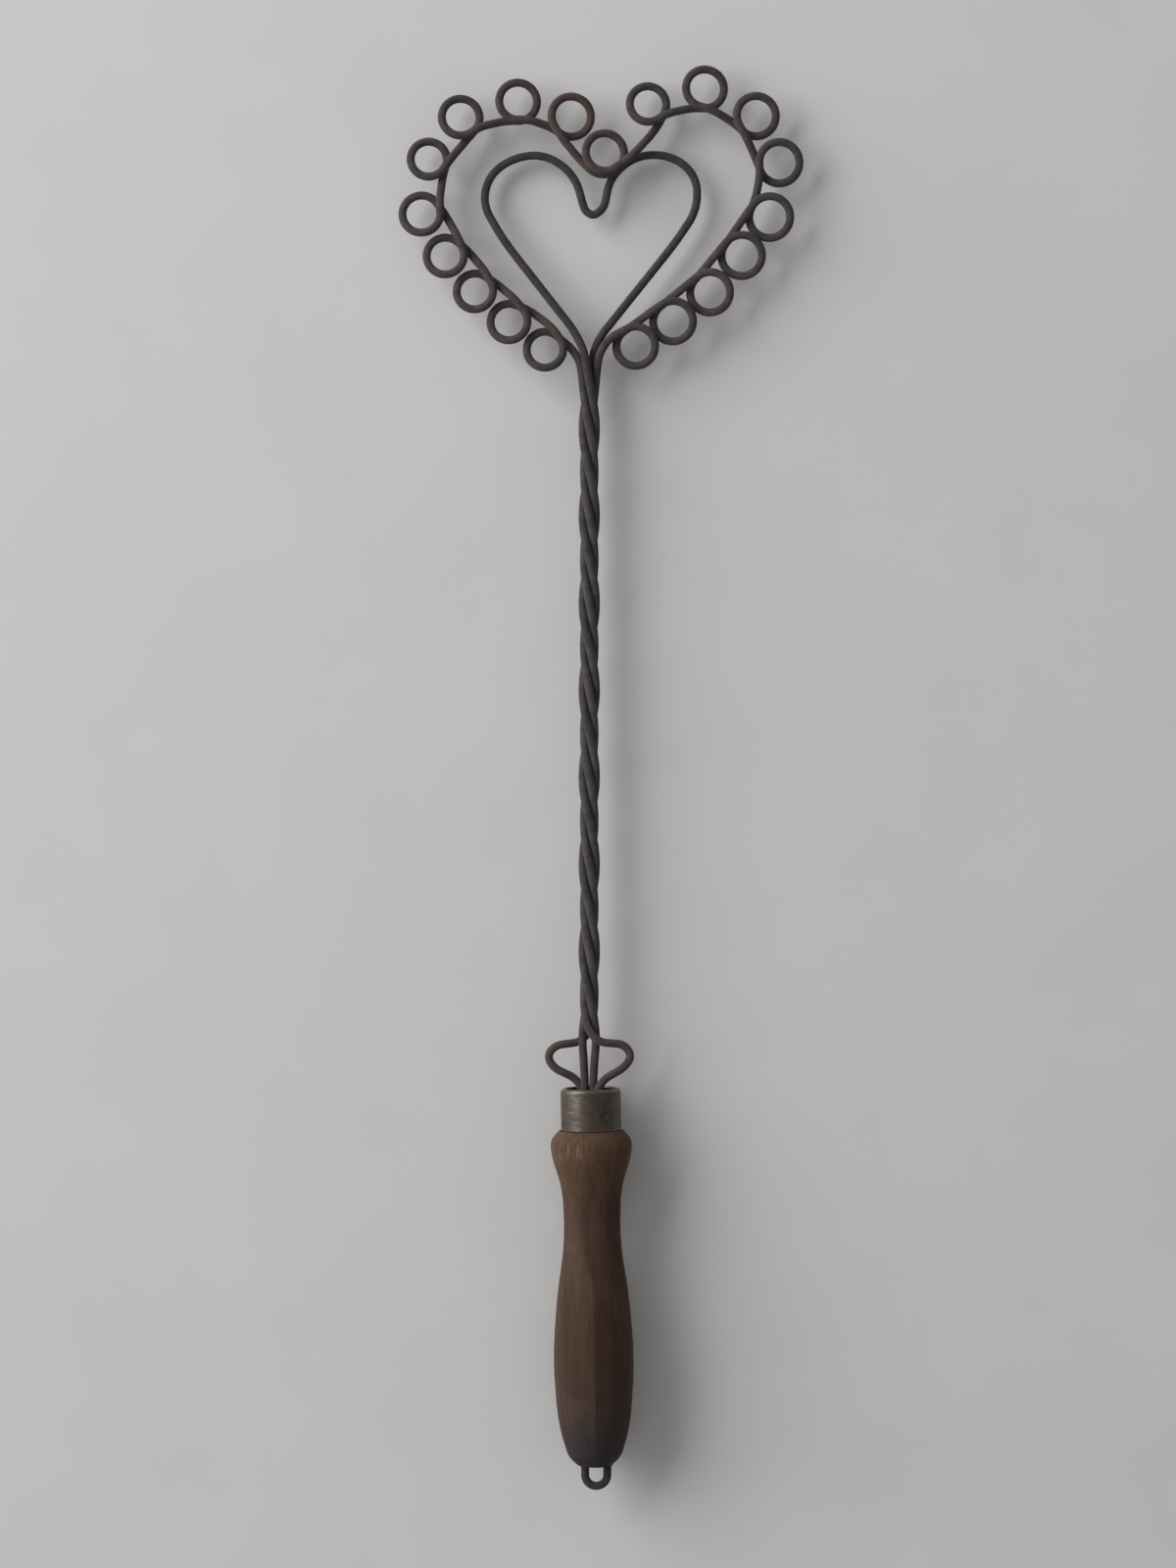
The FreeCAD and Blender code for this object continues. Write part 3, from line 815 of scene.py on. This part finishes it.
def wood_material():
    """Old hardwood: fine lengthwise grain and pores, worn varnish, dirt towards the butt."""
    material, tree, shader = new_material("handle_wood")
    place = add(tree, "ShaderNodeTexCoord").outputs["Object"]
    grain = noise_of(tree, place, 1000, 4.0, 0.6, (1.0, 0.04, 1.0))
    pores = noise_of(tree, place, 2400, 2.0, 0.5, (1.0, 0.03, 1.0))
    figure = noise_of(tree, place, 170, 4.0, 0.6, (1.0, 0.07, 1.0))
    mottle = noise_of(tree, place, 70, 3.0)
    along = object_axis(tree, place, "Y")
    rings = ramp(tree, figure, 0.32, 0.68)
    colour = blend_colours(tree, rings, rgb(0.058, 0.034, 0.023), rgb(0.081, 0.049, 0.034))
    shoulder = blend_colours(tree, rings, rgb(0.094, 0.053, 0.032), rgb(0.126, 0.076, 0.049))
    top = GRIP_Y + SHIFT[1]
    worn = ramp(tree, along, (top - 46) * MM, (top - 30) * MM)
    colour = blend_colours(tree, worn, colour, shoulder)
    colour = blend_colours(tree, ramp(tree, grain, 0.62, 0.36, 0.0, 0.4), colour, rgb(0.044, 0.025, 0.017))
    colour = blend_colours(tree, ramp(tree, pores, 0.60, 0.72, 0.0, 0.5), colour, rgb(0.026, 0.015, 0.011))
    colour = blend_colours(tree, ramp(tree, mottle, 0.50, 0.75, 0.0, 0.25), colour, rgb(0.13, 0.082, 0.055))
    scuffs = noise_of(tree, place, 560, 1.0, 0.4, (1.0, 0.20, 1.0))
    across = object_axis(tree, place, "X")
    left_half = ramp(tree, across, (GRIP_X + SHIFT[0] + 1) * MM, (GRIP_X + SHIFT[0] - 1) * MM)
    under = ramp(tree, along, (top - 26) * MM, (top - 23.5) * MM)
    over = ramp(tree, along, (top - 19) * MM, (top - 22) * MM)
    scuffed = maths(tree, "MULTIPLY", maths(tree, "MULTIPLY", under, over), left_half)
    scuffed = maths(tree, "MULTIPLY", scuffed, ramp(tree, scuffs, 0.57, 0.68, 0.0, 0.6))
    colour = blend_colours(tree, scuffed, colour, rgb(0.185, 0.135, 0.098))
    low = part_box("handle")[0].y
    dirt_line = maths(tree, "ADD", along, maths(tree, "MULTIPLY", mottle, 0.03))
    dirt = ramp(tree, dirt_line, low + 0.054, low + 0.016, 0.0, 0.9)
    colour = blend_colours(tree, dirt, colour, rgb(0.038, 0.034, 0.036))
    give(tree, shader.inputs["Base Color"], colour)
    give(tree, shader.inputs["Roughness"], ramp(tree, figure, 0.3, 0.7, 0.72, 0.60))
    shader.inputs["Specular IOR Level"].default_value = 0.12
    fine = bump(tree, pores, 0.0002, 0.3)
    give(tree, shader.inputs["Normal"], bump(tree, grain, 0.0003, 0.25, fine))
    return material


def floor_material():
    """Pale matt paper."""
    material, tree, shader = new_material("floor_paper")
    place = add(tree, "ShaderNodeTexCoord").outputs["Object"]
    mottle = noise_of(tree, place, 18, 4.0)
    darker, lighter = rgb(0.715, 0.715, 0.715), rgb(0.735, 0.735, 0.735)
    colour = blend_colours(tree, ramp(tree, mottle, 0.3, 0.7), darker, lighter)
    give(tree, shader.inputs["Base Color"], colour)
    shader.inputs["Roughness"].default_value = 0.9
    shader.inputs["Specular IOR Level"].default_value = 0.1
    return material


# ---- Stage ----

FLOOR_SIZE = 8.0        # metres
FLOOR_GAP = 0.2
HEAD_LIFT = 5.0
HEAD_REST = 8.0         # from the far end of the head to where its height above the floor is taken

CAMERA_DISTANCE = 1.5   # metres
VIEW_HEIGHT = 584.0
VIEW_CENTRE = (-0.47, -150.0)


def add_floor():
    """A plain floor under the tool, which rests on the bulb of its handle with its head a little raised."""
    head_low, head_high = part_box("border_right")
    bulb_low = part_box("handle")[0]
    bulb_y = (GRIP_Y - BULB_DOWN + SHIFT[1]) * MM
    slope = (head_low.z - HEAD_LIFT * MM - bulb_low.z) / (head_high.y - HEAD_REST * MM - bulb_y)
    mesh = bpy.data.meshes.new("floor")
    half = FLOOR_SIZE / 2
    corners = []
    for x, y in [(-half, -half), (half, -half), (half, half), (-half, half)]:
        corners.append((x, y, bulb_low.z + slope * (y - bulb_y) - FLOOR_GAP * MM))
    mesh.from_pydata(corners, [], [(0, 1, 2, 3)])
    mesh.materials.append(floor_material())
    floor = bpy.data.objects.new("floor", mesh)
    bpy.context.scene.collection.objects.link(floor)


def add_camera():
    """Straight above the tool, with the photograph's framing."""
    data = bpy.data.cameras.new("camera")
    data.sensor_fit = "VERTICAL"
    data.sensor_height = 24.0
    data.lens = data.sensor_height * CAMERA_DISTANCE / (VIEW_HEIGHT * MM)
    camera = bpy.data.objects.new("camera", data)
    x, y = VIEW_CENTRE
    camera.location = ((x + SHIFT[0]) * MM, (y + SHIFT[1]) * MM, SHIFT[2] * MM + CAMERA_DISTANCE)
    bpy.context.scene.collection.objects.link(camera)
    bpy.context.scene.camera = camera


def add_light(name, place, target, size, power, colour):
    data = bpy.data.lights.new(name, "AREA")
    data.shape = "RECTANGLE"
    data.size, data.size_y = size
    data.energy = power
    data.color = colour
    light = bpy.data.objects.new(name, data)
    direction = Vector(target) - Vector(place)
    light.matrix_world = Matrix.Translation(place) @ direction.to_track_quat("-Z", "Y").to_matrix().to_4x4()
    bpy.context.scene.collection.objects.link(light)


def add_lights():
    """A big soft window low on the left, and weak warm light from all round."""
    add_light("window", (-2.30, 1.12, 1.12), (0, 0, 0), (3.0, 2.5), 105.0, (1.0, 0.995, 0.985))
    world = bpy.data.worlds.new("room")
    world.use_nodes = True
    background = world.node_tree.nodes["Background"]
    background.inputs["Color"].default_value = rgb(1.0, 0.98, 0.96)
    background.inputs["Strength"].default_value = 0.28
    bpy.context.scene.world = world
    bpy.context.scene.view_settings.view_transform = "Standard"


def main():
    add_camera()
    add_lights()
    add_floor()
    materials = {
        "border_wire": wire_material(
            "border_steel", rgb(0.079, 0.070, 0.082), rgb(0.108, 0.075, 0.073), 0.42, 0.70, CLEFT),
        "heart_wire": wire_material(
            "heart_steel", rgb(0.069, 0.063, 0.075), rgb(0.084, 0.062, 0.063), 0.56, 0.80),
        "hanging_loop": wire_material(
            "hanging_steel", rgb(0.050, 0.044, 0.052), rgb(0.060, 0.047, 0.050), 0.5, 0.8),
    }
    slots = {row["node"]: row["material_slot"] for row in frame["record"]["subparts"]}
    add_wire(border_route(), slots, materials)
    add_wire(heart_route(), slots, materials)
    add_ferrule(ferrule_material())
    add_handle(wood_material())


main()
